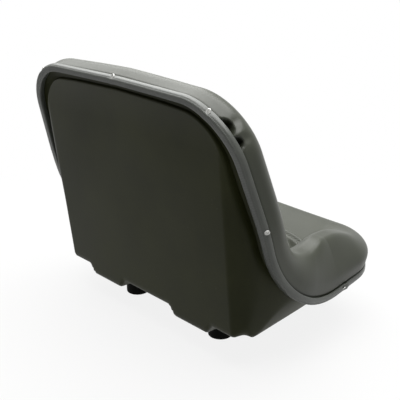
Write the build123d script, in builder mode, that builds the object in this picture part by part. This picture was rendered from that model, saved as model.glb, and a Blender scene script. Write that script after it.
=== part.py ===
from build123d import *
from math import asin, atan2, cos, hypot, radians, sin, sqrt, tan
import os

# A garden tractor seat: a pressed steel pan, a moulded foam pad in a vinyl cover,
# a plastic edge trim held by screws, and four rubber buffers under the pan.
# Frame: +Z up, the sitter faces -Y, millimetres. The origin is the centre of the
# four tapped holes, on the plane that the buffers stand on.

# Mounting
mount_pitch_x = 208.0
mount_pitch_y = 165.0
rear_mount_setback = 65.0
stud_diameter = 8.0
stud_length = 13.0
buffer_diameter = 38.0
buffer_height = 38.0
plate_diameter = 30.0
plate_thickness = 2.5
bush_diameter = 14.0
bush_length = 12.0
nut_width = 13.0
nut_height = 6.5

# Pan
sheet = 2.0
panel_inset = 57.0
panel_lean = 6.3
panel_taper = 6.5
shoulder_width = 18.0
shoulder_setback = 22.0
shoulder_taper = 8.0
shoulder_radius = 22.0
floor_rise = 2.7
heel_radius = 8.0
toe_radius = 20.0
toe_lean = 45.0
toe_setback = 34.0
foot_depth = 14.5
foot_width = 76.0
foot_draft = 11.0
foot_length = 248.0
foot_radius = 6.0

# Rim: the surface shared by the pan's flange and the cushion's underside
hip_forward = 54.9
hip_rise = 30.35
back_lean = 17.25
back_length = 336.9
seat_rise = 2.7
seat_length = 267.4
bend_radius = 161.0
hip_half_width = 254.0
top_narrowing = 26.0
front_narrowing = 39.0
top_corner_radius = 94.0
front_corner_radius = 87.0
side_blend_radius = 250.0
edge_arch = 7.0
taper_run = 8.0
flange_gap = 7.5

# Cushion
pad_thickness = 43.0
pad_edge_radius = 28.0
cover_thickness = 1.5
bolster_half_width = 41.0
bolster_root = 15.0
# Bolster ridge: distance behind the front edge, height above the rim
bolster_ridge = ((240, 55), (170, 78), (100, 70), (50, 36))

# Trim
trim_depth = 11.0
trim_wall = 2.5
trim_return = 12.5
trim_bead_radius = 4.5
trim_edge_radius = 1.0
trim_joint_gap = 0.8
trim_joint_forward = 152.0
screw_head_diameter = 9.0
screw_head_height = 2.4
screw_shank_diameter = 4.2
screw_length = 7.5
corner_screw_angle = 31.0
back_screw_height = 31.0
seat_screw_forward = 143.0

# Clearance between neighbouring pieces
fit_gap = 0.25

# Places worked out from the sizes above
floor_z = buffer_height + foot_depth
heel_y = mount_pitch_y / 2 + rear_mount_setback
back_up = (sin(radians(back_lean)), cos(radians(back_lean)))
back_normal = (-back_up[1], back_up[0])
seat_ahead = (-cos(radians(seat_rise)), sin(radians(seat_rise)))
seat_normal = (seat_ahead[1], -seat_ahead[0])
hip = (heel_y - hip_forward, floor_z + hip_rise)
bend_run = bend_radius * tan(radians((90 - back_lean + seat_rise) / 2))
back_height = back_length - bend_run
cover_inset = trim_wall + fit_gap
lip_inset = cover_inset + cover_thickness + fit_gap
lip_depth = trim_depth - trim_wall - fit_gap
flange_width = trim_return + flange_gap
top_half_width = hip_half_width - top_narrowing
front_half_width = hip_half_width - front_narrowing
panel_half_width = hip_half_width - panel_inset
reach = 0.8 * bend_radius


def along(start, *steps):
    """A side-view point reached from a start by steps of (direction, distance)."""
    y = start[0] + sum(direction[0] * distance for direction, distance in steps)
    z = start[1] + sum(direction[1] * distance for direction, distance in steps)
    return (y, z)


def crossing(point_a, way_a, point_b, way_b):
    """Where two side-view lines cross, each given by a point and a direction."""
    across = way_a[0] * way_b[1] - way_a[1] * way_b[0]
    gap = (point_b[0] - point_a[0], point_b[1] - point_a[1])
    return along(point_a, (way_a, (gap[0] * way_b[1] - gap[1] * way_b[0]) / across))


def hip_corner(height):
    """Where the back and seat lines cross, at a height off the rim."""
    back = along(hip, (back_normal, height))
    seat = along(hip, (seat_normal, height))
    return crossing(back, back_up, seat, seat_ahead)


def taper_vertex(straight_end, far_end, narrowing):
    """Where an outline's straight side and its taper would meet, with the blend starting at straight_end."""
    across = narrowing - side_blend_radius
    run = far_end - straight_end
    taper = atan2(across, run) + asin(side_blend_radius / hypot(across, run))
    return straight_end + side_blend_radius * tan(taper / 2)


back_start = along(hip, (back_up, bend_run))
seat_start = along(hip, (seat_ahead, bend_run))
bend_centre = along(back_start, (back_normal, bend_radius))
front_y = along(hip, (seat_ahead, seat_length))[0]
pad_face_y = along(back_start, (back_normal, pad_thickness))[0]
back_taper = taper_vertex(taper_run, back_height - edge_arch, top_narrowing)
seat_taper_y = -taper_vertex(taper_run - pad_face_y, -front_y - edge_arch, front_narrowing)
back_plane = Plane(origin=(0, *back_start), x_dir=(1, 0, 0), z_dir=(0, *back_normal))
bend_plane = Plane(origin=(0, *back_start), x_dir=(1, 0, 0), z_dir=(0, *back_up))


def height_off_rim(point):
    """How far a point stands off the rim, towards the sitter."""
    if (point.Y - back_start[0]) * back_up[0] + (point.Z - back_start[1]) * back_up[1] > 0:
        return (point.Y - hip[0]) * back_normal[0] + (point.Z - hip[1]) * back_normal[1]
    if point.Y < seat_start[0]:
        return (point.Y - hip[0]) * seat_normal[0] + (point.Z - hip[1]) * seat_normal[1]
    return bend_radius - hypot(point.Y - bend_centre[0], point.Z - bend_centre[1])


def round_corner(sketch, corner, radius):
    """Rounds the corner of a sketch that lies nearest to a point of its plane."""
    fillet(sketch.vertices().sort_by_distance((*corner, 0))[0], radius)


def back_outline(plane, inset):
    """The outline of the seat's back, run on below the bend's start."""
    shoulder = back_height - edge_arch
    with BuildSketch(plane) as outline:
        with BuildLine():
            Polyline(
                (-top_half_width, shoulder),
                (-hip_half_width, back_taper),
                (-hip_half_width, -reach),
                (hip_half_width, -reach),
                (hip_half_width, back_taper),
                (top_half_width, shoulder),
            )
            ThreePointArc((top_half_width, shoulder), (0, back_height), (-top_half_width, shoulder))
        make_face()
        for side in (-1, 1):
            round_corner(outline, (side * top_half_width, shoulder), top_corner_radius)
            round_corner(outline, (side * hip_half_width, back_taper), side_blend_radius)
        if inset:
            offset(amount=-inset)
    return outline.sketch


def seat_outline(plane, inset):
    """The outline of the seat in plan, run on behind the bend's start."""
    shoulder = front_y + edge_arch
    with BuildSketch(plane) as outline:
        with BuildLine():
            Polyline(
                (-front_half_width, shoulder),
                (-hip_half_width, seat_taper_y),
                (-hip_half_width, heel_y + reach),
                (hip_half_width, heel_y + reach),
                (hip_half_width, seat_taper_y),
                (front_half_width, shoulder),
            )
            ThreePointArc((front_half_width, shoulder), (0, front_y), (-front_half_width, shoulder))
        make_face()
        for side in (-1, 1):
            round_corner(outline, (side * front_half_width, shoulder), front_corner_radius)
            round_corner(outline, (side * hip_half_width, seat_taper_y), side_blend_radius)
        if inset:
            offset(amount=-inset)
    return outline.sketch


def rim_slab(inset, low, high):
    """A slab that follows the rim inside its outline, between two heights off the rim."""
    with BuildPart() as back:
        extrude(back_outline(back_plane.offset(-reach), inset), amount=2 * reach)
        split(bisect_by=bend_plane, keep=Keep.TOP)
    with BuildPart() as seat:
        extrude(seat_outline(Plane.XY, inset), amount=floor_z + hip_rise + back_length)
        split(bisect_by=bend_plane, keep=Keep.BOTTOM)
    with BuildPart() as slab:
        with BuildSketch(Plane.YZ) as profile:
            with BuildLine():
                Polyline(
                    along(hip, (back_up, back_length + reach), (back_normal, low)),
                    hip_corner(low),
                    along(hip, (seat_ahead, seat_length + reach), (seat_normal, low)),
                    along(hip, (seat_ahead, seat_length + reach), (seat_normal, high)),
                    hip_corner(high),
                    along(hip, (back_up, back_length + reach), (back_normal, high)),
                    close=True,
                )
            make_face()
            round_corner(profile, hip_corner(low), bend_radius - low)
            round_corner(profile, hip_corner(high), bend_radius - high)
        extrude(amount=hip_half_width + reach, both=True)
        add(back.part + seat.part, mode=Mode.INTERSECT)
    return slab.part


def perimeter(slab, height):
    """The edges round a slab's outline at one height off the rim, without the seams across it."""
    seams = (back_start, seat_start)

    def on_perimeter(edge):
        middle = edge.position_at(0.5)
        across = abs(edge.tangent_at(0.5).X) > 0.999
        seam = across and any(
            abs(hypot(middle.Y - y, middle.Z - z) - abs(height)) < 0.01 for y, z in seams
        )
        return abs(height_off_rim(middle) - height) < 0.01 and not seam

    return slab.edges().filter_by(on_perimeter)


def rim_z(y):
    """The rim's height at a place along the seat."""
    if y < seat_start[0]:
        return seat_start[1] + (y - seat_start[0]) * seat_ahead[1] / seat_ahead[0]
    return bend_centre[1] - sqrt(bend_radius**2 - (y - bend_centre[0]) ** 2)


def seat_half_width(y):
    """Half of the seat's width in plan, round its front corners too."""
    taper = (hip_half_width - front_half_width) / (seat_taper_y - front_y)
    straight = min(hip_half_width, front_half_width + (y - front_y) * taper)
    into_corner = max(0.0, front_y + front_corner_radius - y)
    return straight - front_corner_radius + sqrt(front_corner_radius**2 - into_corner**2)


def cushion(inset, low):
    """The cushion's form inside the rim's outline: one thick slab with two side bolsters on the seat."""
    skin = inset - cover_inset
    top = pad_thickness - skin
    slab = rim_slab(inset, low, top)
    above_rim = rim_slab(inset, bolster_root, 2 * pad_thickness)
    with BuildPart() as bolsters:
        for behind, ridge in bolster_ridge:
            y = front_y + behind
            root = rim_z(y) + bolster_root
            half_width = bolster_half_width - skin
            centre = seat_half_width(y) - inset - half_width
            with BuildSketch(Plane(origin=(0, y, 0), x_dir=(1, 0, 0), z_dir=(0, -1, 0))):
                with Locations((centre, root)):
                    Ellipse(half_width, ridge - skin - bolster_root)
        loft()
        mirror(about=Plane.YZ)
        add(above_rim, mode=Mode.INTERSECT)
    with BuildPart() as pad:
        add(slab)
        fillet(perimeter(pad, top), pad_edge_radius - skin)
        add(bolsters.part)
    return pad.part


def tray(setback, ceiling):
    """The pan's hollow as a block: rear panel, floor and two-step sides, up to a ceiling off the rim."""
    side_slope = atan2(hip_rise, hip_half_width - flange_width - panel_half_width)
    brim_taper = atan2(hip_half_width - front_half_width, seat_taper_y - front_y)
    brim_at_heel = hip_half_width - flange_width + (heel_y - seat_taper_y) * tan(brim_taper)
    crease = panel_half_width - setback * tan(side_slope / 2)
    brim = brim_at_heel - setback / sin(side_slope)
    shoulder = panel_half_width + shoulder_width - (panel_half_width - crease + brim_at_heel - brim) / 2
    panel_way = (sin(radians(panel_lean)), cos(radians(panel_lean)))
    floor_way = (-cos(radians(floor_rise)), sin(radians(floor_rise)))
    toe_way = (-sin(radians(toe_lean)), cos(radians(toe_lean)))
    floor_foot = (heel_y, floor_z - setback / floor_way[0])
    flange_back = along(hip, (back_normal, -sheet))
    flange_seat = along(hip, (seat_normal, -sheet))
    flange_face = along(flange_back, (back_normal, setback))
    panel_top = crossing((heel_y, floor_z), panel_way, flange_back, back_up)
    shoulder_foot = (heel_y - shoulder_setback, floor_z)
    shoulder_reach = hypot(panel_top[0] - shoulder_foot[0], panel_top[1] - shoulder_foot[1])
    shoulder_way = (
        (panel_top[0] - shoulder_foot[0]) / shoulder_reach,
        (panel_top[1] - shoulder_foot[1]) / shoulder_reach,
    )
    toe_top = along(hip, (seat_ahead, seat_length - toe_setback - setback))
    toe_ceiling = crossing(along(hip, (seat_normal, ceiling)), seat_ahead, toe_top, toe_way)

    def section(side, half_width, taper, rear, rear_way, under, under_way, heel, toe):
        plane = Plane(
            origin=(side * half_width, heel_y, 0),
            x_dir=(side * sin(taper), cos(taper), 0),
            z_dir=(cos(taper), -side * sin(taper), 0),
        )
        top = crossing(rear, rear_way, flange_face, back_up) if rear != flange_back else panel_top
        corners = (
            top,
            crossing(rear, rear_way, under, under_way),
            crossing(under, under_way, toe_top, toe_way),
            toe_ceiling,
            hip_corner(ceiling),
            crossing(along(hip, (back_normal, ceiling)), back_up, top, back_normal),
        )
        local = [((y - heel_y) / cos(taper), z) for y, z in corners]
        with BuildSketch(plane) as profile:
            with BuildLine():
                Polyline(*local, close=True)
            make_face()
            round_corner(profile, local[1], heel)
            round_corner(profile, local[2], toe)
            round_corner(profile, local[4], bend_radius - ceiling)
        return profile.sketch

    panel_rear = (heel_y - setback / panel_way[1], floor_z)
    shoulder_rear = (shoulder_foot[0] - setback / shoulder_way[1], floor_z)
    heel, toe = heel_radius - setback, toe_radius - setback
    panel_line = (panel_rear, panel_way, floor_foot, floor_way, heel, toe)
    shoulder_line = (shoulder_rear, shoulder_way, floor_foot, floor_way, shoulder_radius - setback, toe)
    brim_line = (flange_back, back_up, flange_seat, seat_ahead, bend_radius + sheet, sheet / 4)
    right_side = (
        (crease, radians(panel_taper), panel_line),
        (shoulder, radians(shoulder_taper), shoulder_line),
        (brim, brim_taper, brim_line),
    )
    steps = [(-1, *step) for step in reversed(right_side)] + [(1, *step) for step in right_side]
    sections = [section(side, half_width, taper, *line) for side, half_width, taper, line in steps]
    with BuildPart() as block:
        loft(sections, ruled=True)
    return block.part


def pan_hollow(setback, ceiling):
    """The tray's block, kept inside the rim's outline."""
    with BuildPart() as hollow:
        add(tray(setback, ceiling))
        add(rim_slab(flange_width + setback, -reach, reach), mode=Mode.INTERSECT)
    return hollow.part


def foot(setback):
    """One fore-and-aft channel under the floor, with a flat underside for the buffers."""
    rear = Plane(
        origin=(0, heel_y - setback / cos(radians(panel_lean)), floor_z),
        z_dir=(0, cos(radians(panel_lean)), -sin(radians(panel_lean))),
    )
    foot_front = heel_y - foot_length + setback
    top = floor_z + foot_length * tan(radians(floor_rise)) + sheet
    base = buffer_height + setback
    lower = foot_width / 2 - setback
    upper = lower + (top - base) * foot_draft / foot_depth
    with BuildPart() as channel:
        with BuildSketch(Plane(origin=(0, foot_front, 0), x_dir=(-1, 0, 0), z_dir=(0, 1, 0))) as profile:
            with BuildLine():
                Polyline((-lower, base), (lower, base), (upper, top), (-upper, top), close=True)
            make_face()
            for side in (-1, 1):
                round_corner(profile, (side * lower, base), foot_radius - setback)
        extrude(amount=foot_length + foot_depth)
        split(bisect_by=rear, keep=Keep.BOTTOM)
    return channel.part


feet_places = Locations((-mount_pitch_x / 2, 0, 0), (mount_pitch_x / 2, 0, 0))
trim_blank = rim_slab(0, -trim_depth, 0)


def screw_place(start, way):
    """The place on the trim's outer face that a line from inside the rim comes out at."""
    line = Axis(start, way)
    found = trim_blank.find_intersection_points(line)
    point, normal = max(found, key=lambda hit: (hit[0] - line.position).dot(line.direction))
    return Plane(origin=point, z_dir=normal).location


middle_of_trim = -trim_depth / 2
corner_way = Vector(sin(radians(corner_screw_angle)), cos(radians(corner_screw_angle)), 0)
corners = back_outline(back_plane, 0).edges().filter_by(
    lambda edge: edge.geom_type == GeomType.CIRCLE and abs(edge.radius - top_corner_radius) < 0.01
)
seat_screw_y = heel_y - hip_forward - seat_screw_forward
up_the_back = Vector(0, *back_up)
along_the_seat = Vector(0, *seat_ahead)
screw_places = [
    screw_place(back_plane.from_local_coords((0, 0, middle_of_trim)), up_the_back),
    screw_place((0, seat_screw_y, rim_z(seat_screw_y) + middle_of_trim), along_the_seat),
]
for side in (-1, 1):
    for corner in corners:
        if corner.arc_center.X * side > 0:
            start = corner.arc_center - back_plane.z_dir * trim_depth / 2
            way = up_the_back * corner_way.Y + Vector(side * corner_way.X, 0, 0)
            screw_places.append(screw_place(start, way))
    start = back_plane.from_local_coords((0, back_screw_height, middle_of_trim))
    screw_places.append(screw_place(start, (side, 0, 0)))
    start = (0, seat_screw_y, rim_z(seat_screw_y) + middle_of_trim)
    screw_places.append(screw_place(start, (side, 0, 0)))
screw_hole_radius = screw_shank_diameter / 2 + fit_gap / 2

os.makedirs("parts", exist_ok=True)

# Pan: a flange with a lip turned back, a tray with a flat rear panel, and two channel feet
flange = rim_slab(lip_inset, -lip_depth, 0)
flange_inside = rim_slab(lip_inset + sheet, -reach, -sheet)
tray_outside = pan_hollow(0, -sheet / 2)
tray_inside = pan_hollow(sheet, pad_thickness / 2)
foot_outside = foot(0)
foot_inside = foot(sheet)
with BuildPart() as seat_pan:
    add(flange)
    add(flange_inside, mode=Mode.SUBTRACT)
    add(tray_outside)
    with feet_places:
        add(foot_outside)
    add(tray_inside, mode=Mode.SUBTRACT)
    with feet_places:
        add(foot_inside, mode=Mode.SUBTRACT)
    with Locations((0, 0, buffer_height)):
        with GridLocations(mount_pitch_x, mount_pitch_y, 2, 2):
            Cylinder(stud_diameter / 2 + fit_gap, 2 * sheet, mode=Mode.SUBTRACT)
    with Locations(*screw_places):
        Cylinder(screw_hole_radius, 2 * screw_length, mode=Mode.SUBTRACT)
seat_pan.part.label = "seat_pan"
export_step(seat_pan.part, "parts/seat_pan.step")

# Vinyl cover: a skin over the pad whose edge is tucked between the trim and the pan's lip
cover_outside = cushion(cover_inset, -lip_depth)
cover_inside = cushion(cover_inset + cover_thickness, -reach / 2)
with BuildPart() as vinyl_cover:
    add(cover_outside)
    add(cover_inside, mode=Mode.SUBTRACT)
    with Locations(*screw_places):
        Cylinder(screw_hole_radius, 2 * screw_length, mode=Mode.SUBTRACT)
vinyl_cover.part.label = "vinyl_cover"
export_step(vinyl_cover.part, "parts/vinyl_cover.step")

# Foam pad: fills the cover and the tray under it
pad_above = cushion(lip_inset, fit_gap)
pad_below = pan_hollow(sheet + fit_gap, pad_thickness / 2)
with BuildPart() as foam_pad:
    add(pad_above)
    add(pad_below)
foam_pad.part.label = "foam_pad"
export_step(foam_pad.part, "parts/foam_pad.step")

# Edge trim: one plastic strip of L section round the rim, its ends meeting on the sitter's right
trim_channel = rim_slab(trim_wall, -trim_depth + trim_wall, reach)
trim_opening = rim_slab(trim_return, -reach, reach)
joint_y = heel_y - hip_forward - trim_joint_forward
with BuildPart() as edge_trim:
    add(trim_blank)
    fillet(perimeter(edge_trim, -trim_depth), trim_bead_radius)
    fillet(perimeter(edge_trim, 0), trim_edge_radius)
    add(trim_channel, mode=Mode.SUBTRACT)
    add(trim_opening, mode=Mode.SUBTRACT)
    with Locations(*screw_places):
        Cylinder(screw_hole_radius, 2 * screw_length, mode=Mode.SUBTRACT)
    with Locations((-seat_half_width(joint_y), joint_y, rim_z(joint_y))):
        Box(4 * trim_return, trim_joint_gap, 4 * trim_depth, mode=Mode.SUBTRACT)
edge_trim.part.label = "edge_trim"
export_step(edge_trim.part, "parts/edge_trim.step")

# Trim screws: pan-head self-tappers through trim and cover into the lip
with BuildPart() as trim_screws:
    with Locations(*screw_places):
        Cylinder(screw_shank_diameter / 2, screw_length, align=(Align.CENTER, Align.CENTER, Align.MAX))
        Cylinder(
            screw_head_diameter / 2, screw_head_height, align=(Align.CENTER, Align.CENTER, Align.MIN)
        )
trim_screws.part.label = "trim_screws"
export_step(trim_screws.part, "parts/trim_screws.step")

# Weld nuts: one over each stud hole, inside the channel feet
with BuildPart() as weld_nuts:
    with BuildSketch(Plane.XY.offset(buffer_height + sheet)):
        with GridLocations(mount_pitch_x, mount_pitch_y, 2, 2):
            RegularPolygon(nut_width / 2, 6, major_radius=False)
            Circle(stud_diameter / 2 + fit_gap, mode=Mode.SUBTRACT)
    extrude(amount=nut_height)
weld_nuts.part.label = "weld_nuts"
export_step(weld_nuts.part, "parts/weld_nuts.step")

# Buffer studs: a bonded plate with an upward stud, at the top of each buffer
with BuildPart() as buffer_studs:
    with Locations((0, 0, buffer_height)):
        with GridLocations(mount_pitch_x, mount_pitch_y, 2, 2):
            Cylinder(plate_diameter / 2, plate_thickness, align=(Align.CENTER, Align.CENTER, Align.MAX))
            Cylinder(stud_diameter / 2, stud_length, align=(Align.CENTER, Align.CENTER, Align.MIN))
buffer_studs.part.label = "buffer_studs"
export_step(buffer_studs.part, "parts/buffer_studs.step")

# Buffer inserts: a bonded plate with a tapped bush, at the foot of each buffer
with BuildPart() as buffer_inserts:
    with GridLocations(mount_pitch_x, mount_pitch_y, 2, 2):
        Cylinder(plate_diameter / 2, plate_thickness, align=(Align.CENTER, Align.CENTER, Align.MIN))
        Cylinder(bush_diameter / 2, bush_length, align=(Align.CENTER, Align.CENTER, Align.MIN))
    with GridLocations(mount_pitch_x, mount_pitch_y, 2, 2):
        Cylinder(stud_diameter / 2, 3 * bush_length, mode=Mode.SUBTRACT)
buffer_inserts.part.label = "buffer_inserts"
export_step(buffer_inserts.part, "parts/buffer_inserts.step")

# Buffers: rubber cylinders moulded round the plates
with BuildPart() as rubber_buffers:
    with GridLocations(mount_pitch_x, mount_pitch_y, 2, 2):
        Cylinder(buffer_diameter / 2, buffer_height, align=(Align.CENTER, Align.CENTER, Align.MIN))
    with GridLocations(mount_pitch_x, mount_pitch_y, 2, 2):
        Cylinder(stud_diameter / 2, 2 * bush_length, mode=Mode.SUBTRACT)
    add(buffer_studs.part, mode=Mode.SUBTRACT)
    add(buffer_inserts.part, mode=Mode.SUBTRACT)
rubber_buffers.part.label = "rubber_buffers"
export_step(rubber_buffers.part, "parts/rubber_buffers.step")
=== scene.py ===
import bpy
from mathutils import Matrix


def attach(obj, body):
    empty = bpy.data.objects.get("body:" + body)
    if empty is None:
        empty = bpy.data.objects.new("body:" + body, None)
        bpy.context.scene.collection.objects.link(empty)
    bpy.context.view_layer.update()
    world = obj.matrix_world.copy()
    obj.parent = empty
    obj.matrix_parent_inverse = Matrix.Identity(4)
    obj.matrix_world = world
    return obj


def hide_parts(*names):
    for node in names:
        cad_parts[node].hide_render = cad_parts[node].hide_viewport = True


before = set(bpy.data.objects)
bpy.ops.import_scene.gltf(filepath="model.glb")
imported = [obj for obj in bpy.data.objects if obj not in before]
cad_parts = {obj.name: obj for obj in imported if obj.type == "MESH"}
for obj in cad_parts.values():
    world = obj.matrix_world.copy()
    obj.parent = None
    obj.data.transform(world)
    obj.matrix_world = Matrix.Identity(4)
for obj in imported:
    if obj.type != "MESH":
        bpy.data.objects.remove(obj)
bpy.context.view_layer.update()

from math import asin, atan2, cos, hypot, pi, radians, sin, tan

import bpy
import numpy as np
from mathutils import Matrix, Vector

# Seat pan
# One pressing of 2 mm steel sheet, with a flat rear panel, flared sides and two channel feet.
# It is dipped in olive-black satin paint, which shows a faint orange peel and a few light specks.
black = (0, 0, 0)
white = (1, 1, 1)
paint_dark = (0.0125, 0.014, 0.003)
paint_light = (0.0235, 0.0255, 0.008)
speck_colour = (0.10, 0.10, 0.085)


def new_finish(name, specular):
    """A material with its nodes and its principled shader, ready for one finish."""
    finish = bpy.data.materials.new(name)
    finish.use_nodes = True
    skin = finish.node_tree.nodes["Principled BSDF"]
    skin.inputs["Specular IOR Level"].default_value = specular
    return finish, finish.node_tree, skin


def node(tree, kind, **settings):
    """A new node with its settings and the values of its inputs."""
    made = tree.nodes.new(kind)
    for name, value in settings.items():
        title = name.replace("_", " ").title()
        if title in made.inputs:
            made.inputs[title].default_value = value
        else:
            setattr(made, name, value)
    return made


def texture(tree, kind, **settings):
    """A texture node read in the object's own coordinates, in metres."""
    made = node(tree, kind, **settings)
    place = node(tree, "ShaderNodeTexCoord")
    tree.links.new(place.outputs["Object"], made.inputs["Vector"])
    return made


def ramp(tree, source, low_colour, high_colour, low, high):
    """A smooth change between two colours over a range of a texture's value."""
    made = node(tree, "ShaderNodeValToRGB")
    made.color_ramp.elements[0].position = low
    made.color_ramp.elements[1].position = high
    made.color_ramp.elements[0].color = (*low_colour, 1)
    made.color_ramp.elements[1].color = (*high_colour, 1)
    tree.links.new(source, made.inputs["Fac"])
    return made.outputs["Color"]


def spread(tree, source, socket, low, high):
    """Drives a shader's number from a texture, between two limits."""
    made = node(tree, "ShaderNodeMapRange", to_min=low, to_max=high)
    tree.links.new(source, made.inputs["Value"])
    tree.links.new(made.outputs["Result"], socket)


def relief(tree, skin, source, distance, strength, under=None):
    """Raises a texture as relief on a shader, on top of any relief under it."""
    made = node(tree, "ShaderNodeBump", distance=distance, strength=strength)
    tree.links.new(source, made.inputs["Height"])
    if under:
        tree.links.new(under.outputs["Normal"], made.inputs["Normal"])
    tree.links.new(made.outputs["Normal"], skin.inputs["Normal"])
    return made


def mixed(tree, share, first, plain):
    """A textured colour that gives way to a plain one by a share."""
    made = node(tree, "ShaderNodeMix", data_type="RGBA")
    share_socket, first_socket, plain_socket = (made.inputs[place] for place in (0, 6, 7))
    tree.links.new(share, share_socket)
    tree.links.new(first, first_socket)
    plain_socket.default_value = (*plain, 1)
    return made.outputs[2]


def pan_paint():
    """Satin paint in slow clouds of two tones, with light specks in patches and a faint orange peel."""
    finish, tree, skin = new_finish("pan_paint", specular=0.1)
    clouds = texture(tree, "ShaderNodeTexNoise", scale=9, detail=3, roughness=0.5)
    tone = ramp(tree, clouds.outputs["Fac"], paint_dark, paint_light, low=0.3, high=0.72)
    dust = texture(tree, "ShaderNodeTexVoronoi", scale=130, randomness=1)
    chips = ramp(tree, dust.outputs["Distance"], white, black, low=0.035, high=0.07)
    patches = texture(tree, "ShaderNodeTexNoise", scale=22, detail=2)
    few = ramp(tree, patches.outputs["Fac"], black, white, low=0.58, high=0.66)
    speck = node(tree, "ShaderNodeMath", operation="MULTIPLY")
    tree.links.new(chips, speck.inputs[0])
    tree.links.new(few, speck.inputs[1])
    colour = mixed(tree, speck.outputs[0], tone, speck_colour)
    tree.links.new(colour, skin.inputs["Base Color"])
    spread(tree, clouds.outputs["Fac"], skin.inputs["Roughness"], low=0.36, high=0.50)
    peel = texture(tree, "ShaderNodeTexNoise", scale=260, detail=2)
    relief(tree, skin, peel.outputs["Fac"], distance=0.0004, strength=0.18)
    return finish


# The rim's line in side view and its outline, in mm, which all the pieces round it follow
heel_y = 147.5
floor_z = 52.5
hip_forward = 54.9
hip_rise = 30.35
back_lean = radians(17.25)
back_length = 336.9
seat_rise = radians(2.7)
seat_length = 267.4
bend_radius = 161.0
hip_half_width = 254.0
top_narrowing = 26.0
front_narrowing = 39.0
top_corner = 94.0
front_corner = 87.0
side_blend = 250.0
edge_arch = 7.0
taper_run = 8.0
pad_thickness = 43.0

back_up = np.array((sin(back_lean), cos(back_lean)))
back_normal = np.array((-cos(back_lean), sin(back_lean)))
bend_angle = pi / 2 - back_lean + seat_rise
bend_length = bend_radius * bend_angle
bend_run = bend_radius * tan(bend_angle / 2)
back_start = np.array((heel_y - hip_forward, floor_z + hip_rise)) + bend_run * back_up
bend_centre = back_start + bend_radius * back_normal
back_height = back_length - bend_run
seat_end = bend_length + seat_length - bend_run


def on_rim(across, down, off):
    """Points in metres, from the distance across the seat, down the rim's line and off the rim, in mm."""
    across, down, off = np.broadcast_arrays(*(np.asarray(value, float) for value in (across, down, off)))
    held = np.clip(down, 0, bend_length)
    turn = (held / bend_radius)[..., None]
    normal = np.cos(turn) * back_normal + np.sin(turn) * back_up
    ahead = np.sin(turn) * back_normal - np.cos(turn) * back_up
    line = bend_centre - bend_radius * normal + (down - held)[..., None] * ahead
    place = line + off[..., None] * normal
    return np.concatenate((across[..., None], place), axis=-1) * 0.001


def rounded(chain, arc_step=3.0, arc_least=6):
    """A line through corner points (x, y, radius) with each inner corner rounded."""
    corners = [np.array(corner[:2], float) for corner in chain]
    line = [corners[0]]
    for before, corner, after, (_, _, radius) in zip(corners, corners[1:], corners[2:], chain[1:]):
        back = (before - corner) / np.linalg.norm(before - corner)
        ahead = (after - corner) / np.linalg.norm(after - corner)
        half = np.arccos(np.clip(back @ ahead, -1, 1)) / 2
        middle = (back + ahead) / np.linalg.norm(back + ahead)
        centre = corner + middle * radius / sin(half)
        for share in np.linspace(-1, 1, max(arc_least, int(radius * (pi - 2 * half) / arc_step))):
            swing = share * (pi / 2 - half)
            side = ahead - (ahead @ middle) * middle
            side /= np.linalg.norm(side)
            line.append(centre + radius * (sin(swing) * side - cos(swing) * middle))
    line.append(corners[-1])
    return np.array(line)


def taper_vertex(straight_end, far_end, narrowing):
    """Where a straight side and its taper would meet, with the blend starting at straight_end."""
    across = narrowing - side_blend
    run = far_end - straight_end
    taper = atan2(across, run) + asin(side_blend / hypot(across, run))
    return straight_end + side_blend * tan(taper / 2)


def half_outline(start, straight_end, far_end, narrowing, corner):
    """Half of the back's or the seat's outline, from the bend's start to its far end's middle."""
    far = far_end - edge_arch
    narrow = hip_half_width - narrowing
    vertex = taper_vertex(straight_end, far, narrowing)
    line = rounded(
        [(hip_half_width, start, 0), (hip_half_width, vertex, side_blend), (narrow, far, corner), (0, far, 0)]
    )
    arched = np.clip((line[:, 1] - far + corner) / corner, 0, 1) ** 2
    line[:, 1] += edge_arch * arched * (1 - np.minimum(1, line[:, 0] / narrow) ** 2)
    return line


def evenly(line, count):
    """A line with its points spaced evenly."""
    length = np.concatenate(([0], np.cumsum(np.linalg.norm(np.diff(line, axis=0), axis=1))))
    wanted = np.linspace(0, length[-1], count)
    return np.stack([np.interp(wanted, length, line[:, axis]) for axis in (0, 1)], axis=1)


line_before = 20.0
line_beyond = 60.0
line_points = 2000
rim_points = 1600
mirror = np.array((-1, 1))

pad_face_forward = heel_y - back_start[0] + pad_thickness * cos(back_lean)
front_forward = hip_forward + seat_length * cos(seat_rise)
down_table = np.linspace(-line_before, seat_end + line_beyond, line_points)
forward_table = heel_y - on_rim(0, down_table, 0)[:, 1] * 1000
back_half = half_outline(0, taper_run, back_height, top_narrowing, top_corner)
back_half[:, 1] *= -1
seat_half = half_outline(
    heel_y - back_start[0], pad_face_forward + taper_run, front_forward, front_narrowing, front_corner
)
seat_half[:, 1] = np.interp(seat_half[:, 1], forward_table, down_table)
rim_half = evenly(np.concatenate((back_half[::-1], seat_half[1:])), rim_points)
rim_steps = np.abs(np.diff(rim_half, axis=0))
rim_sides = np.nonzero(rim_steps[:, 1] > rim_steps[:, 0])[0]
top_turn, front_turn = rim_sides[0], rim_sides[-1]


def loop_ways(loop, middle):
    """Outward directions of a closed loop, and distances along it from one place, less than 0 on -X."""
    along = np.roll(loop, -1, axis=0) - np.roll(loop, 1, axis=0)
    along /= np.linalg.norm(along, axis=1)[:, None]
    outward = np.stack((along[:, 1], -along[:, 0]), axis=1)
    steps = np.linalg.norm(np.roll(loop, -1, axis=0) - loop, axis=1)
    walk = np.concatenate(([0], np.cumsum(steps[:-1])))
    walk -= np.interp(middle, np.arange(len(loop)), walk)
    round_trip = steps.sum()
    return outward, (walk + round_trip / 2) % round_trip - round_trip / 2


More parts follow.
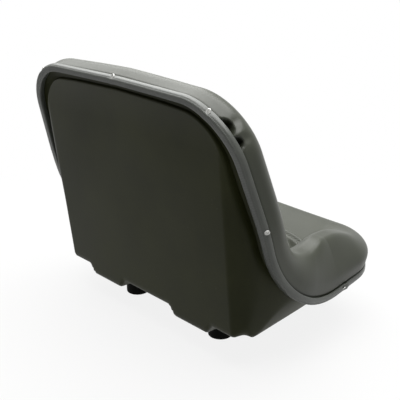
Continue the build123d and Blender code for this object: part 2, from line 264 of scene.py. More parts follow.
def rim_loop(top_count, side_count):
    """The outline as a closed loop of points, with outward directions and distances from the top's middle."""
    side = evenly(rim_half[top_turn : front_turn + 1], side_count)
    top = np.concatenate(((rim_half[: top_turn + 1] * mirror)[::-1], rim_half[1 : top_turn + 1]))
    top = evenly(top, top_count)
    front = np.concatenate((rim_half[front_turn:], (rim_half[front_turn:] * mirror)[::-1][1:]))
    front = evenly(front, top_count)
    loop = np.concatenate((top[:-1], side[:-1], front[:-1], (side * mirror)[::-1][:-1]))
    return loop, *loop_ways(loop, (top_count - 1) / 2)


def half_width(down):
    """Half of the seat's width at a place down the rim's line."""
    return np.interp(down, rim_half[top_turn : front_turn + 1, 1], rim_half[top_turn : front_turn + 1, 0])


def rise(value, low, high):
    """A smooth step from 0 to 1."""
    share = np.clip((value - low) / (high - low), 0, 1)
    return share * share * (3 - 2 * share)


def eased(table, value, width, readings=9):
    """A table of places and values, read with its corners eased over a width."""
    shifts = np.linspace(-width, width, readings)
    return sum(np.interp(value + shift, *zip(*table)) for shift in shifts) / len(shifts)


def soft_least(first, second, blend):
    """The lesser of two values, with a smooth change from one to the other."""
    share = np.clip(0.5 + 0.5 * (second - first) / blend, 0, 1)
    return second + share * (first - second) - blend * share * (1 - share)


# The sheet, its lip and flange, and the tray's faces, in mm
sheet = 2.0
lip_inset = 4.5
lip_depth = 8.25
# Rows of (distance in from the lip, number of sheets behind the rim)
lip_bend = ((0, 2.0), (0.3, 1.4), (1.1, 1.05), (2.5, 1.0))
flange_flat = 12.0
flange_width = 20.0
panel_half_width = 197.0
panel_lean = radians(6.85)
panel_taper = tan(radians(6.5))
panel_proud = 7.5
floor_rise = radians(2.7)
heel_round = 12.0
toe_setback = 34.0
toe_round = 16.0
shoulder_width = 18.0
shoulder_setback = 22.0
shoulder_round = 14.0
side_drop = 5.0
side_drop_start = 20.0
side_drop_end = 28.0
crease_round = 3.0
crease_readings = 7
long_wave = (47.0, 58.0)
long_wave_shift = 0.6
short_wave = (29.0, 41.0)
short_wave_share = 0.6
wave_height = 0.5
wave_end = 60.0
foot_base = 38.0
foot_place = 104.0
foot_half_width = 38.0
foot_draft = 11.0
foot_draft_power = 1.6
foot_length = 248.0
foot_heel_round = 8.0
edge_round = 4.0
# Rows of (distance along the rim from the top's middle, inset of the tray's wall)
wall_line = ((0, 18.5), (120, 19), (200, 27), (300, 32), (400, 28), (560, 20), (950, 20))
wall_ease = 40.0
wall_slope = 4.0
wall_round = 3.0
border_width = 60.0
border_rings = 22
border_power = 1.6
pan_top_count = 118
pan_side_count = 212
least_fall = 0.02
never_met = 2000.0


def panel_waves(across, down):
    """The slight waves that pressing leaves in the flat panel, in mm."""
    long_waves = np.sin(across / long_wave[0] + long_wave_shift) * np.sin(down / long_wave[1])
    short_waves = np.sin(across / short_wave[0] - down / short_wave[1])
    return wave_height * rise(-down, -wave_end, 0) * (long_waves + short_wave_share * short_waves)


def pan_depth(across, down, beyond_wall):
    """How far the pan's outside lies behind the rim, from its panel, floor, sides and feet, in mm."""
    base = on_rim(0, down, 0)[..., 1:] * 1000
    behind = base - on_rim(0, down, 1)[..., 1:] * 1000
    proud = np.full(down.shape, -panel_proud)
    waves = panel_waves(across, down)

    def reach(place, facing):
        """How far behind the rim a plane lies."""
        fall = behind @ np.array(facing)
        distance = (np.array(place) - base) @ np.array(facing) / np.maximum(fall, least_fall)
        return np.where(fall > least_fall, distance, never_met)

    heel = (heel_y, floor_z)
    panel = reach(heel, (cos(panel_lean), -sin(panel_lean)))
    ground = reach(heel, (-sin(floor_rise), -cos(floor_rise)))
    ground = soft_least(ground, sheet + np.maximum(0, seat_end - toe_setback - down), toe_round)
    top_y, top_z = back_start + back_height * back_up
    shoulder_lean = atan2(top_y - heel_y + shoulder_setback, top_z - floor_z)
    shoulder_foot = (heel_y - shoulder_setback, floor_z)
    shoulder = reach(shoulder_foot, (cos(shoulder_lean), -sin(shoulder_lean)))
    side_ground = ground + side_drop * rise(ground, side_drop_start, side_drop_end)
    middle = -soft_least(-soft_least(panel, ground, heel_round), proud, edge_round)
    side = -soft_least(-soft_least(shoulder, side_ground, shoulder_round), proud, edge_round)
    forward_of_heel = heel_y - base[..., 0] - behind[..., 0] * middle
    crease = panel_half_width - forward_of_heel * panel_taper
    brim = half_width(down) - flange_width
    step = np.minimum(crease + shoulder_width, (crease + brim) / 2)
    depth = np.zeros(down.shape)
    for shift in np.linspace(-crease_round, crease_round, crease_readings):
        place = np.abs(across) + shift
        inner = np.clip((place - crease) / np.maximum(step - crease, 1), 0, 1)
        outer = np.clip((place - step) / np.maximum(brim - step, 1), 0, 1)
        depth += (middle + inner * (side - middle) + outer * (sheet - side)) / crease_readings
    depth = soft_least(depth + waves, sheet + np.maximum(0, beyond_wall) * wall_slope, wall_round)
    foot = soft_least(panel + waves, reach((0, foot_base), (0, -1)), foot_heel_round)
    beside = foot_half_width + foot_draft - np.abs(np.abs(across) - foot_place)
    steep = np.sign(beside) * np.abs(beside / foot_draft) ** foot_draft_power
    foot = soft_least(foot, middle + steep * (floor_z - foot_base), edge_round)
    foot = soft_least(foot, middle + (foot_length - forward_of_heel) * wall_slope, edge_round)
    return np.maximum(np.maximum(depth, foot), sheet)


def filled(rings, top_count, side_count, height):
    """Points and faces of rings (across, down, off), the last one filled with a grid at a given height."""
    count = len(rings[0])
    border = rings[-1][:, :2]
    top = border[:top_count]
    right = border[top_count - 1 : top_count + side_count - 1]
    front = border[top_count + side_count - 2 : 2 * top_count + side_count - 2][::-1]
    left = np.concatenate((border[2 * top_count + side_count - 3 :], border[:1]))[::-1]
    over = np.linspace(0, 1, top_count)[None, :, None]
    down = np.linspace(0, 1, side_count)[:, None, None]
    grid = (1 - down) * top[None] + down * front[None] + (1 - over) * left[:, None] + over * right[:, None]
    grid -= (
        (1 - over) * (1 - down) * top[0]
        + over * (1 - down) * top[-1]
        + (1 - over) * down * front[0]
        + over * down * front[-1]
    )
    inner = grid[1:-1, 1:-1].reshape(-1, 2)
    points = np.concatenate([on_rim(*ring.T) for ring in rings] + [on_rim(*inner.T, height(*inner.T))])
    index = np.empty((side_count, top_count), int)
    index[1:-1, 1:-1] = len(rings) * count + np.arange(len(inner)).reshape(side_count - 2, top_count - 2)
    last = (len(rings) - 1) * count
    index[0] = last + np.arange(top_count)
    index[:, -1] = last + top_count - 1 + np.arange(side_count)
    index[-1] = last + top_count + side_count - 2 + np.arange(top_count)[::-1]
    index[1:-1, 0] = last + count - np.arange(1, side_count - 1)
    around = np.arange(count)
    after = (around + 1) % count
    faces = [
        np.stack((around, after, after + count, around + count), axis=1) + low * count
        for low in range(len(rings) - 1)
    ]
    faces.append(
        np.stack((index[:-1, :-1], index[:-1, 1:], index[1:, 1:], index[1:, :-1]), axis=-1).reshape(-1, 4)
    )
    return points, np.concatenate(faces)


def pan_shape():
    """The pan's outside: the lip, the flange and a tray pressed out of it, as one sheet without thickness."""
    loop, outward, walk = rim_loop(pan_top_count, pan_side_count)
    lip = lip_inset + sheet
    wall = eased(wall_line, np.abs(walk), wall_ease)
    section = [(lip, -lip_depth)]
    section += [(lip + inward, -sheets * sheet) for inward, sheets in lip_bend]
    section.append((flange_flat, -sheet))
    rings = [np.column_stack((loop - inset * outward, np.full(len(loop), off))) for inset, off in section]
    for share in np.linspace(0, 1, border_rings):
        inset = wall + (border_width - wall) * share**border_power
        flat = loop - inset[:, None] * outward
        rings.append(np.column_stack((flat, -pan_depth(*flat.T, inset - wall))))
    points, faces = filled(
        rings, pan_top_count, pan_side_count, lambda across, down: -pan_depth(across, down, border_width)
    )
    return points.tolist(), faces.tolist()


def show(name, shape, finish):
    """Puts a shape, its points in metres and its faces, in the scene as a piece that rides on the seat."""
    points, faces = shape
    mesh = bpy.data.meshes.new(name)
    mesh.from_pydata(points, [], faces)
    mesh.materials.append(finish)
    mesh.shade_smooth()
    piece = bpy.data.objects.new(name, mesh)
    bpy.context.scene.collection.objects.link(piece)
    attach(piece, "root")
    return piece


pan = show("pressed_pan", pan_shape(), pan_paint())
thickness = pan.modifiers.new("sheet", "SOLIDIFY")
thickness.thickness = sheet / 1000
thickness.offset = -1
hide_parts("seat_pan")

# Vinyl cover
# A dark grey vinyl skin, drawn over the foam and tucked behind the edge trim all round the rim.
# It is stretched over two side bolsters, creased where seat and back meet, and gathered at one top corner.
vinyl_dark = (0.018, 0.021, 0.012)
vinyl_light = (0.026, 0.029, 0.018)
pad_edge = 28.0
bolster_crest = 32.0
bolster_top = 46.0
bolster_foot = 82.0
# Rows of (place down the rim's line, height of the bolster)
bolster_line = (
    (60, 0), (115, 12), (150, 25), (185, 35), (225, 32), (255, 26), (285, 12), (310, 2), (335, 0)
)
bolster_ease = 18.0
bolster_climb_power = 1.1
bolster_fall_power = 1.2
crease_depth = 5.0
crease_width = 5.0
crease_start = (195.0, 220.0)
crease_end = (250.0, 300.0)
fold_place = bend_length + 20.0
fold_start = bolster_foot - 10.0
fold_full = bolster_foot + 4.0
fold_middle = 105.0
fold_reach = 60.0
fold_least = 0.3
fold_slant = 0.33
fold_slant_limit = 150.0
fold_slant_ease = 40.0
fold_gap = 6.5
back_lip_height = 5.0
seat_lip_height = 4.2
lip_width = 4.2
valley_depth = 3.0
valley_width = 3.2
hollow_depth = 9.0
hollow_inside = 96.0
hollow_width = 13.0
hollow_down = 207.0
hollow_length = 9.0
hollow_slant = 0.4
dish_depth = 3.0
dish_width = 130.0
dish_down = -80.0
dish_length = 110.0
saddle_depth = 2.5
saddle_across = 70.0
saddle_width = 60.0
saddle_down = 280.0
saddle_length = 45.0


def bell(value, middle, width):
    """A smooth bump of height 1."""
    return np.exp(-(((value - middle) / width) ** 2))


def padding(across, down):
    """How far the pad stands off its plain thickness: bolsters, creases and folds, in mm."""
    inside = half_width(down) - np.abs(across)
    crest = eased(bolster_line, down, bolster_ease)
    climb = np.sin(pi / 2 * np.clip(inside / bolster_crest, 0, 1)) ** bolster_climb_power
    fall = np.clip((inside - bolster_top) / (bolster_foot - bolster_top), 0, 1)
    bolster = crest * climb * np.cos(pi / 2 * fall) ** bolster_fall_power
    seat_only = rise(down, *crease_start) * (1 - rise(down, *crease_end))
    crease = crease_depth * bell(inside, bolster_foot, crease_width) * seat_only
    slanted = soft_least(inside, np.full(inside.shape, fold_slant_limit), fold_slant_ease)
    from_fold = down - fold_place - fold_slant * (slanted - fold_middle)
    lips = back_lip_height * bell(from_fold, -fold_gap, lip_width)
    lips += seat_lip_height * bell(from_fold, fold_gap, lip_width)
    valley = valley_depth * bell(from_fold, 0, valley_width)
    between = rise(inside, fold_start, fold_full)
    strength = fold_least + (1 - fold_least) * bell(inside, fold_middle, fold_reach)
    fold = between * strength * (lips - valley)
    hollow_line = hollow_down + hollow_slant * (inside - hollow_inside)
    hollow = hollow_depth * bell(inside, hollow_inside, hollow_width) * bell(down, hollow_line, hollow_length)
    dish = dish_depth * bell(across, 0, dish_width) * bell(down, dish_down, dish_length)
    beside = bell(np.abs(across), saddle_across, saddle_width)
    saddle = saddle_depth * beside * bell(down, saddle_down, saddle_length)
    return bolster - crease + fold - hollow - dish - saddle


cover_gap = 2.75
cover_depth = 1.5
skirt = 8.0
skirt_rings = (4.0, 1.5)
underside = 0.4
underside_reach = 3.0
wall_rings = 13
edge_rings = 17
cover_tuck = 1.3
cover_tuck_off = 0.3
cover_tuck_width = 1.8
# Rows of (distance along the rim from the top's middle, bulge of the cover)
cover_bulge = (
    (0, 5), (80, 3.8), (160, 0.5), (240, 2.5), (330, 2.5), (400, 0.5), (460, -2), (540, -2),
    (620, 1), (700, 6), (800, 7), (950, 5),
)
cover_bulge_ease = 40.0
cover_bulge_off = 22.0
cover_bulge_width = 20.0
padding_power = 1.5
cushion_top_count = 180
cushion_side_count = 240
# Rows of (start and end along the rim, height, depth) of the gaps where the cover is gathered
gathers = ((-240, -210, 12, 12.0), (-261, -241, 11, 13.0))
gather_arch_power = 0.7
gather_side_power = 0.5
gather_least = 0.5
gather_edge = 2.5
gather_lifted_from = 0.6
gather_roof = 0.5
gather_roof_slope = 0.01
dent_depth = 1.8
dent_size = 7.0
dent_above = 5.0
pinch_height = 1.6
pinch_place = -240.5
pinch_width = 4.0
pinch_off = 9.0
pinch_length = 8.0


def gathered(walk, off):
    """How far the cover is pulled in at the gathered corner, and its height there, in mm."""
    pulled = np.zeros(len(walk))
    lifted = np.full(len(walk), off, float)
    for start, end, high, deep in gathers:
        bow = np.sin(pi * np.clip((walk - start) / (end - start), 0, 1))
        arch = high * bow**gather_arch_power
        inward = np.where(arch > gather_least, rise(arch - off, 0, gather_edge) * bow**gather_side_power, 0)
        pulled += deep * inward
        roof = gather_roof + gather_roof_slope * off
        lifted = np.maximum(lifted, np.where(inward > gather_lifted_from, roof, off))
        dent = bell(walk, (start + end) / 2, dent_size) * bell(off, high + dent_above, dent_size)
        pulled += dent_depth * dent
    pulled -= pinch_height * bell(walk, pinch_place, pinch_width) * bell(off, pinch_off, pinch_length)
    return pulled, lifted


def cushion_shape():
    """The cushion as one closed skin: a skirt in the trim, walls, a rounded edge and a padded face."""
    loop, outward, walk = rim_loop(cushion_top_count, cushion_side_count)
    count = len(loop)
    wall = pad_thickness - pad_edge
    inner = cover_gap + cover_depth
    section = [(cover_gap + underside_reach * cover_depth, underside)]
    section += [(inner, underside / 2), (inner, -skirt)]
    section += [(cover_gap, -off) for off in (skirt, *skirt_rings)]
    section += [(cover_gap, off) for off in np.linspace(0, wall, wall_rings)]
    for share in np.linspace(0, 1, edge_rings)[1:]:
        angle = share * pi / 2
        section.append((cover_gap + pad_edge * (1 - cos(angle)), wall + pad_edge * sin(angle)))
    rings = []
    bulge = eased(cover_bulge, np.abs(walk), cover_bulge_ease)
    for inward, off in section:
        tuck = cover_tuck * bell(off, cover_tuck_off, cover_tuck_width) * (inward == cover_gap)
        inset = inward + tuck - bulge * bell(off, cover_bulge_off, cover_bulge_width)
        flat = loop - inset[:, None] * outward
        raised = max(0, off / pad_thickness) ** padding_power
        pulled, lifted = gathered(walk, off)
        lift = padding(flat[:, 0], flat[:, 1]) * raised
        rings.append(np.column_stack((flat - pulled[:, None] * outward, lifted + lift)))
    points, faces = filled(
        rings,
        cushion_top_count,
        cushion_side_count,
        lambda across, down: pad_thickness + padding(across, down),
    )
    opposite = (cushion_top_count - 1 - np.arange(count)) % count
    half = np.arange(cushion_top_count // 2, cushion_top_count // 2 + count // 2 - 1)
    under = np.stack((half, opposite[half], opposite[half + 1], half + 1), axis=1)
    return points.tolist(), np.concatenate((faces, under))[:, ::-1].tolist()


def vinyl():
    """Soft satin vinyl in two close tones, with a fine grain over shallow creases."""
    finish, tree, skin = new_finish("vinyl", specular=0.36)
    clouds = texture(tree, "ShaderNodeTexNoise", scale=14, detail=4, roughness=0.55)
    tone = ramp(tree, clouds.outputs["Fac"], vinyl_dark, vinyl_light, low=0.3, high=0.7)
    tree.links.new(tone, skin.inputs["Base Color"])
    spread(tree, clouds.outputs["Fac"], skin.inputs["Roughness"], low=0.36, high=0.46)
    grain = texture(tree, "ShaderNodeTexVoronoi", scale=900, randomness=1)
    under = relief(tree, skin, grain.outputs["Distance"], distance=0.0003, strength=0.12)
    creases = texture(tree, "ShaderNodeTexNoise", scale=60, detail=3)
    relief(tree, skin, creases.outputs["Fac"], distance=0.0008, strength=0.12, under=under)
    return finish


cushion = show("vinyl_cushion", cushion_shape(), vinyl())
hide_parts("vinyl_cover", "foam_pad")

# Edge trim
# One moulded strip of dark grey plastic with a U section, bent round the rim and screwed to the pan's lip.
# Its side band is smooth, its rounded rear corner is finely ribbed, and its ends meet on the sitter's right.
trim_dark = (0.042, 0.046, 0.039)
trim_light = (0.058, 0.062, 0.053)
trim_depth = 11.0
trim_wall = 2.5
trim_return = 12.5
trim_bead = 3.2
trim_edge = 1.0
trim_clearance = 2.4
band_swell = 0.15
band_foot_swell = 0.1
band_foot = 0.5
bead_step = 0.45
return_edge = 0.8
inner_edge = 1.0
top_narrower = 0.35
narrower_end = 110.0
full_width_start = 240.0
trim_joint_forward = 152.0
joint_step = 1.8
joint_step_run = 14.0
rib_pitch = 2.4
rib_height = 0.3
rib_reach = 0.75
rib_start_share = 0.4
rib_end_share = 0.6
stations_per_rib = 4
seat_screw_forward = 143.0
seat_screw_across = 245.0
back_screw_height = 31.0
corner_screw_across = 192.0
corner_screw_drop = 17.5
screw_dimple = 12.0
screw_sink = 1.3
screw_dimple_depth = 5.0
other_side = 1000


def down_at_forward(forward):
    """The place down the rim's line that lies a distance ahead of the heel."""
    return np.interp(forward, forward_table, down_table)


def trim_section():
    """The strip's section as points (outward, off the rim), each with its share of the ribs."""
    points = [(-trim_wall, 0, 0), (-trim_edge, 0, 0)]
    for angle in np.linspace(90, 0, 4)[1:]:
        swing = radians(angle)
        points.append((trim_edge * (cos(swing) - 1), trim_edge * (sin(swing) - 1), 0))
    shelf = -trim_depth + trim_bead
    points += [(band_swell, shelf / 2, 0), (band_foot_swell, shelf + band_foot, 0)]
    points.append((-bead_step, shelf, rib_start_share))
    for angle in np.linspace(0, -90, 7)[1:]:
        swing = radians(angle)
        points.append((-trim_bead + (trim_bead - bead_step) * cos(swing), shelf + trim_bead * sin(swing), 1))
    points.append((-rib_reach * trim_return, -trim_depth, 1))
    points.append((-trim_return + return_edge, -trim_depth, rib_end_share))
    inside = -trim_return + trim_wall
    bottom = -trim_depth + trim_wall
    points += [(-trim_return, -trim_depth + return_edge, 0), (-trim_return, -trim_clearance, 0)]
    points += [(inside, -trim_clearance, 0), (inside, bottom, 0)]
    points += [(-trim_wall - inner_edge, bottom, 0), (-trim_wall, bottom + inner_edge, 0)]
    return np.array(points)


rim_whole = np.concatenate((rim_half, (rim_half * mirror)[::-1][1:]))
seat_screw_down = down_at_forward(hip_forward + seat_screw_forward)
screw_targets = [np.array((0, -back_height)), np.array((0, seat_end))]
for side in (-1, 1):
    screw_targets.append(np.array((side * corner_screw_across, -back_height + corner_screw_drop)))
    screw_targets.append(np.array((side * hip_half_width, -back_screw_height)))
    screw_targets.append(np.array((side * seat_screw_across, seat_screw_down)))


def trim_shape():
    """The strip swept round the outline, from one end to the other."""
    length = np.linalg.norm(np.diff(rim_whole, axis=0), axis=1).sum()
    count = int(length / rib_pitch) * stations_per_rib
    loop = evenly(rim_whole, count + 1)[:-1]
    outward, walk = loop_ways(loop, 0)
    joint = down_at_forward(hip_forward + trim_joint_forward)
    first = np.argmin(np.abs(loop[:, 1] - joint) + other_side * (loop[:, 0] > 0))
    loop = np.roll(loop, -first, axis=0)
    outward = np.roll(outward, -first, axis=0)
    from_top = np.abs(np.roll(walk, -first))
    dimple = np.zeros(count)
    for target in screw_targets:
        dimple += bell(np.hypot(*(loop - target).T), 0, screw_dimple / 2)
    section = trim_section()
    narrower = top_narrower * (1 - rise(from_top, narrower_end, full_width_start))
    ribs = np.where(np.arange(count) % stations_per_rib < stations_per_rib / 2, rib_height, 0)
    step_out = joint_step * (1 - rise(np.arange(count) * length / count, 0, joint_step_run))
    points = []
    for out, off, share in section:
        sunk = screw_sink * dimple * bell(off, -trim_depth / 2, screw_dimple_depth)
        kept = min(0, out + trim_bead) * (1 - narrower)
        spread_out = max(out, -trim_bead) + kept - share * ribs * (out > -trim_bead) + step_out - sunk
        spread_off = off + share * ribs * (off < -trim_depth + trim_bead / 2)
        flat = loop + spread_out[:, None] * outward
        points.append(on_rim(*flat.T, spread_off))
    points = np.stack(points, axis=1).reshape(-1, 3)
    size = len(section)
    along = np.arange(count - 1)[:, None] * size
    ring = np.arange(size)[None, :]
    after = (ring + 1) % size
    faces = np.stack((along + ring, along + size + ring, along + size + after, along + after), axis=-1)
    ends = [list(range(size))[::-1], list(range((count - 1) * size, count * size))]
    return points.tolist(), faces.reshape(-1, 4).tolist() + ends


def trim_plastic():
    """Moulded plastic in two close tones, with a very fine grain."""
    finish, tree, skin = new_finish("trim_plastic", specular=0.45)
    clouds = texture(tree, "ShaderNodeTexNoise", scale=30, detail=4)
    tone = ramp(tree, clouds.outputs["Fac"], trim_dark, trim_light, low=0.3, high=0.7)
    tree.links.new(tone, skin.inputs["Base Color"])
    spread(tree, clouds.outputs["Fac"], skin.inputs["Roughness"], low=0.30, high=0.40)
    grain = texture(tree, "ShaderNodeTexNoise", scale=1500, detail=2)
    relief(tree, skin, grain.outputs["Fac"], distance=0.0002, strength=0.2)
    return finish


trim = show("edge_strip", trim_shape(), trim_plastic())
trim.data.set_sharp_from_angle(angle=radians(50))
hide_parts("edge_trim")

# Trim screws
# Eight bright plated self-tapping screws with round heads and cross recesses.
# They are driven through trim and cover into the pan's lip, and draw the plastic in a little round each head.
bright_plating = (0.46, 0.46, 0.44)
worn_share = 0.7
head_radius = 4.5
head_height = 2.4
head_rim = 0.4
head_edge = 0.3
head_sink = 0.8
dome_start = 0.25
dome_rings = 12
recess_reach = 2.7
recess_width = 1.1
recess_depth = 1.5
recess_edge = 0.6
recess_lowest = 0.5
shank_radius = 2.1
tip_share = 0.3
point_length = 2.5
screw_length = 7.5
screw_spokes = 48
screw_turn = 0.6
rim_fine_points = 4000


def screw_profile():
    """A screw's outline as points (radius, height), from its tip up its shank and over its head."""
    profile = [(shank_radius * tip_share, -screw_length), (shank_radius, -screw_length + point_length)]
    profile += [(shank_radius, 0.0), (head_radius - head_edge, 0.0), (head_radius, head_rim)]
    for angle in np.linspace(dome_start, pi / 2, dome_rings)[:-1]:
        profile.append((head_radius * cos(angle), head_rim + (head_height - head_rim) * sin(angle)))
    return profile


def recess_cut(radius, swing):
    """How deep the cross recess is cut round one ring of a head."""
    sides = radius * np.abs((np.cos(swing), np.sin(swing)))
    in_arm = rise(-sides.min(axis=0), -recess_width, -recess_width / 2)
    in_reach = 1 - rise(sides.max(axis=0), recess_reach - recess_edge, recess_reach)
    return recess_depth * (in_arm * in_reach)


def screw_shape():
    """All the screws, each a round head with its recess and a pointed shank, along its outward axis."""
    whole = evenly(rim_whole, rim_fine_points)[:-1]
    outward, _ = loop_ways(whole, 0)
    swing = np.linspace(0, 2 * pi, screw_spokes, endpoint=False)
    profile = screw_profile()
    points = []
    faces = []
    for target in screw_targets:
        place = np.argmin(np.hypot(*(whole - target).T))
        spot = whole[place]
        centre = on_rim(*(spot - head_sink * outward[place]), -trim_depth / 2) * 1000
        axis = on_rim(*(spot + 2 * outward[place]), -trim_depth / 2) * 1000 - centre
        axis /= np.linalg.norm(axis)
        sideways = on_rim(*spot, 1 - trim_depth / 2) * 1000 - centre
        sideways /= np.linalg.norm(sideways)
        across = np.cross(axis, sideways)
        turned = swing + screw_turn * place
        first = len(points)
        for radius, high in profile:
            depth = np.full(screw_spokes, high)
            if high > recess_lowest:
                depth -= recess_cut(radius, swing)
            ring = centre + np.outer(radius * np.cos(turned), across)
            ring = ring + np.outer(radius * np.sin(turned), sideways) + np.outer(depth, axis)
            points.extend((ring * 0.001).tolist())
        for low in range(first, len(points) - screw_spokes, screw_spokes):
            upper = low + screw_spokes
            for step in range(screw_spokes):
                after = (step + 1) % screw_spokes
                faces.append((upper + step, upper + after, low + after, low + step))
        faces.append(tuple(range(first, first + screw_spokes)))
        faces.append(tuple(range(len(points) - screw_spokes, len(points)))[::-1])
    return points, faces


def plated_steel(name, colour, roughness):
    """Plated steel, a little darker in fine worn spots."""
    finish, tree, skin = new_finish(name, specular=0.5)
    skin.inputs["Metallic"].default_value = 1
    skin.inputs["Roughness"].default_value = roughness
    wear = texture(tree, "ShaderNodeTexNoise", scale=400, detail=3)
    darker = tuple(worn_share * part for part in colour)
    tone = ramp(tree, wear.outputs["Fac"], darker, colour, low=0.35, high=0.65)
    tree.links.new(tone, skin.inputs["Base Color"])
    return finish


screw_finish = plated_steel("bright_plating", bright_plating, roughness=0.22)
screws = show("trim_screw_set", screw_shape(), screw_finish)
screws.data.set_sharp_from_angle(angle=radians(40))
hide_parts("trim_screws")

# Weld nuts, buffer studs and buffer inserts
# Zinc-plated steel pieces inside the feet and the buffers.
# The nuts are welded to the pan, and the plates of the studs and inserts are bonded into the rubber.
zinc_plating = (0.50, 0.49, 0.46)


def dress(name, finish):
    """Gives a part of the frame its finish."""
    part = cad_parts[name]
    part.data.materials.clear()
    part.data.materials.append(finish)
    part.data.shade_smooth()
    part.data.set_sharp_from_angle(angle=radians(24))


zinc = plated_steel("zinc", zinc_plating, roughness=0.4)
for name in ("weld_nuts", "buffer_studs", "buffer_inserts"):
    dress(name, zinc)

# Rubber buffers
# Four black rubber cylinders under the feet, dull and a little dusty.
# Each is moulded round its two steel plates, which leaves a fine line at half its height.
rubber_dark = (0.004, 0.005, 0.004)
rubber_dusty = (0.012, 0.012, 0.010)
mount_pitch = (208.0, 165.0)
buffer_radius = 19.0
buffer_height = 38.0
buffer_round = 2.2
buffer_bulge = 0.4
buffer_side_rings = 41
buffer_spokes = 64
mould_line = 0.25
mould_line_width = 0.6
plate_radius = 15.1
plate_recess = 2.6
bush_radius = 7.1
bush_recess = 12.1
core_radius = 0.5


def black_rubber():
    """Dull black rubber with a little dust and a fine grain."""
    finish, tree, skin = new_finish("black_rubber", specular=0.06)
    skin.inputs["Roughness"].default_value = 0.7
    dust = texture(tree, "ShaderNodeTexNoise", scale=60, detail=4)
    tone = ramp(tree, dust.outputs["Fac"], rubber_dark, rubber_dusty, low=0.4, high=0.75)
    tree.links.new(tone, skin.inputs["Base Color"])
    grain = texture(tree, "ShaderNodeTexNoise", scale=900, detail=2)
    relief(tree, skin, grain.outputs["Fac"], distance=0.0003, strength=0.3)
    return finish


def buffer_profile():
    """A buffer's outline as points (radius, height): rounded ends, a swell, a mould line and recesses."""
    rounded_end = []
    for angle in np.linspace(-90, 0, 7):
        swing = radians(angle)
        radius = buffer_radius - buffer_round + buffer_round * cos(swing)
        rounded_end.append((radius, buffer_round * (1 + sin(swing))))
    profile = list(rounded_end)
    for height in np.linspace(buffer_round, buffer_height - buffer_round, buffer_side_rings)[1:-1]:
        swell = buffer_bulge * sin(pi * height / buffer_height)
        line = mould_line * bell(height, buffer_height / 2, mould_line_width)
        profile.append((buffer_radius + swell + line, height))
    profile += [(radius, buffer_height - height) for radius, height in rounded_end[::-1]]
    upper = buffer_height - plate_recess
    profile += [(plate_radius, buffer_height), (plate_radius, upper), (core_radius, upper)]
    profile += [(core_radius, bush_recess), (bush_radius, bush_recess), (bush_radius, plate_recess)]
    profile += [(plate_radius, plate_recess), (plate_radius, 0)]
    return np.array(profile)


def buffer_shape():
    """The four buffers, each turned from one outline."""
    profile = buffer_profile()
    radii, heights = profile.T
    size = len(profile)
    swing = np.linspace(0, 2 * pi, buffer_spokes, endpoint=False)
    ring = np.arange(size)[None, :]
    after = (ring + 1) % size
    here = np.arange(buffer_spokes)[:, None] * size
    following = np.roll(here, -1, axis=0)
    turned = np.stack((here + ring, following + ring, following + after, here + after), axis=-1)
    points = []
    faces = []
    for place_x in (-mount_pitch[0] / 2, mount_pitch[0] / 2):
        for place_y in (-mount_pitch[1] / 2, mount_pitch[1] / 2):
            faces.append(turned.reshape(-1, 4) + len(points) * buffer_spokes * size)
            body = (
                place_x + np.outer(np.cos(swing), radii),
                place_y + np.outer(np.sin(swing), radii),
                np.broadcast_to(heights, (buffer_spokes, size)),
            )
            points.append(np.stack(body, axis=-1).reshape(-1, 3) * 0.001)
    return np.concatenate(points).tolist(), np.concatenate(faces).tolist()


buffers = show("buffer_set", buffer_shape(), black_rubber())
buffers.data.set_sharp_from_angle(angle=radians(40))
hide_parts("rubber_buffers")

# Floor
# A round, matt, pale table top under the seat, which the camera and shiny faces see as white.
# It is a little less white under the seat, and keeps the seat's soft shadow there.
table_colour = (0.45, 0.45, 0.44)
floor_radius = 0.95
floor_points = 96
glow_near = 0.86
glow_far = 1.0
glow_far_from = 0.15
glow_near_from = 0.55


def background_rays(tree):
    """1 for the rays that see the background: from the camera, off shiny faces or through clear ones."""
    rays = node(tree, "ShaderNodeLightPath")
    direct = node(tree, "ShaderNodeMath", operation="ADD", use_clamp=True)
    tree.links.new(rays.outputs["Is Camera Ray"], direct.inputs[0])
    tree.links.new(rays.outputs["Is Glossy Ray"], direct.inputs[1])
    clear = node(tree, "ShaderNodeMath", operation="ADD", use_clamp=True)
    tree.links.new(direct.outputs[0], clear.inputs[0])
    tree.links.new(rays.outputs["Is Transmission Ray"], clear.inputs[1])
    return clear.outputs[0]


def white_table():
    """A pale matt surface that glows white to the rays that see the background, less so near the seat."""
    finish, tree, skin = new_finish("white_table", specular=0.1)
    skin.inputs["Base Color"].default_value = (*table_colour, 1)
    skin.inputs["Roughness"].default_value = 0.9
    glow = node(tree, "ShaderNodeEmission", strength=1.0)
    nearness = texture(tree, "ShaderNodeTexGradient", gradient_type="SPHERICAL")
    fade = node(tree, "ShaderNodeMapRange", interpolation_type="SMOOTHSTEP")
    fade.inputs["From Min"].default_value = glow_far_from
    fade.inputs["From Max"].default_value = glow_near_from
    fade.inputs["To Min"].default_value = glow_far
    fade.inputs["To Max"].default_value = glow_near
    tree.links.new(nearness.outputs["Fac"], fade.inputs["Value"])
    share = node(tree, "ShaderNodeMath", operation="MULTIPLY")
    tree.links.new(background_rays(tree), share.inputs[0])
    tree.links.new(fade.outputs["Result"], share.inputs[1])
    blend = node(tree, "ShaderNodeMixShader")
    tree.links.new(share.outputs[0], blend.inputs["Fac"])
    tree.links.new(skin.outputs[0], blend.inputs[1])
    tree.links.new(glow.outputs[0], blend.inputs[2])
    tree.links.new(blend.outputs[0], tree.nodes["Material Output"].inputs["Surface"])
    return finish


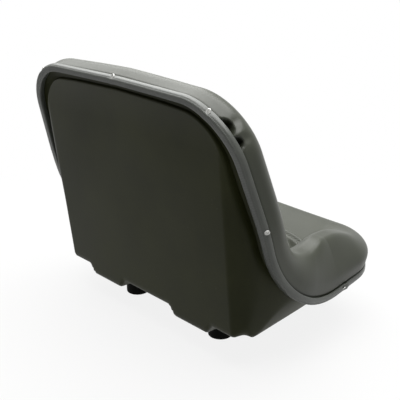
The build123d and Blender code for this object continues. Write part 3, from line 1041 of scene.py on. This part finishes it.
floor_angles = np.linspace(0, 2 * pi, floor_points, endpoint=False)
floor_edge = [(floor_radius * cos(angle), floor_radius * sin(angle), 0) for angle in floor_angles]
floor_mesh = bpy.data.meshes.new("floor")
floor_mesh.from_pydata(floor_edge, [], [tuple(range(floor_points))])
floor_mesh.materials.append(white_table())
floor = bpy.data.objects.new("floor", floor_mesh)
bpy.context.scene.collection.objects.link(floor)

# Light
# A pale studio that is brighter beyond the seat, and white to the camera and in shiny faces.
# One wide softbox hangs overhead, and a smaller one stands beyond the seat.
bright_way = (0.62, -0.45, 0.64)
bright_from = 0.85
studio_dim = (0.06, 0.06, 0.06)
studio_bright = (0.85, 0.85, 0.86)
seat_middle = Vector((0, 0.05, 0.3))

world = bpy.data.worlds.new("studio")
bpy.context.scene.world = world
world.use_nodes = True
sky = world.node_tree
way = node(sky, "ShaderNodeTexCoord")
beyond = node(sky, "ShaderNodeVectorMath", operation="DOT_PRODUCT")
beyond.inputs[1].default_value = bright_way
sky.links.new(way.outputs["Generated"], beyond.inputs[0])
level = ramp(sky, beyond.outputs["Value"], studio_dim, studio_bright, low=0.0, high=bright_from)
shown = mixed(sky, background_rays(sky), level, white)
sky.links.new(shown, sky.nodes["Background"].inputs["Color"])


def softbox(name, place, width, depth, power):
    """A soft rectangular lamp that faces the seat."""
    lamp = bpy.data.lights.new(name, "AREA")
    lamp.shape = "RECTANGLE"
    lamp.size = width
    lamp.size_y = depth
    lamp.energy = power
    made = bpy.data.objects.new(name, lamp)
    made.location = place
    made.rotation_euler = (seat_middle - made.location).to_track_quat("-Z", "Y").to_euler()
    bpy.context.scene.collection.objects.link(made)


softbox("softbox_overhead", place=(-0.15, -0.15, 2.15), width=2.4, depth=2.4, power=110)
softbox("softbox_beyond", place=(1.3, -0.45, 1.6), width=1.7, depth=1.3, power=24)

# Camera
# Behind the seat and on the sitter's right, a little above it.
# Its place and lens are fitted to the straight edges of the pan in the photograph.
camera_place = (-0.9210, 0.8622, 0.6180)
yaw = radians(47.98)
pitch = radians(19.37)
roll = radians(0.25)

lens = bpy.data.cameras.new("camera")
lens.sensor_width = 36
lens.lens = 73.4
camera = bpy.data.objects.new("camera", lens)
bpy.context.scene.collection.objects.link(camera)
forward = Vector((sin(yaw) * cos(pitch), -cos(yaw) * cos(pitch), -sin(pitch)))
right = Vector((-cos(yaw), -sin(yaw), 0))
upward = right.cross(forward)
turned_right = right * cos(roll) + upward * sin(roll)
turned_up = upward * cos(roll) - right * sin(roll)
camera.matrix_world = Matrix((turned_right, turned_up, -forward)).transposed().to_4x4()
camera.location = camera_place
bpy.context.scene.camera = camera
bpy.context.scene.view_settings.view_transform = "Standard"
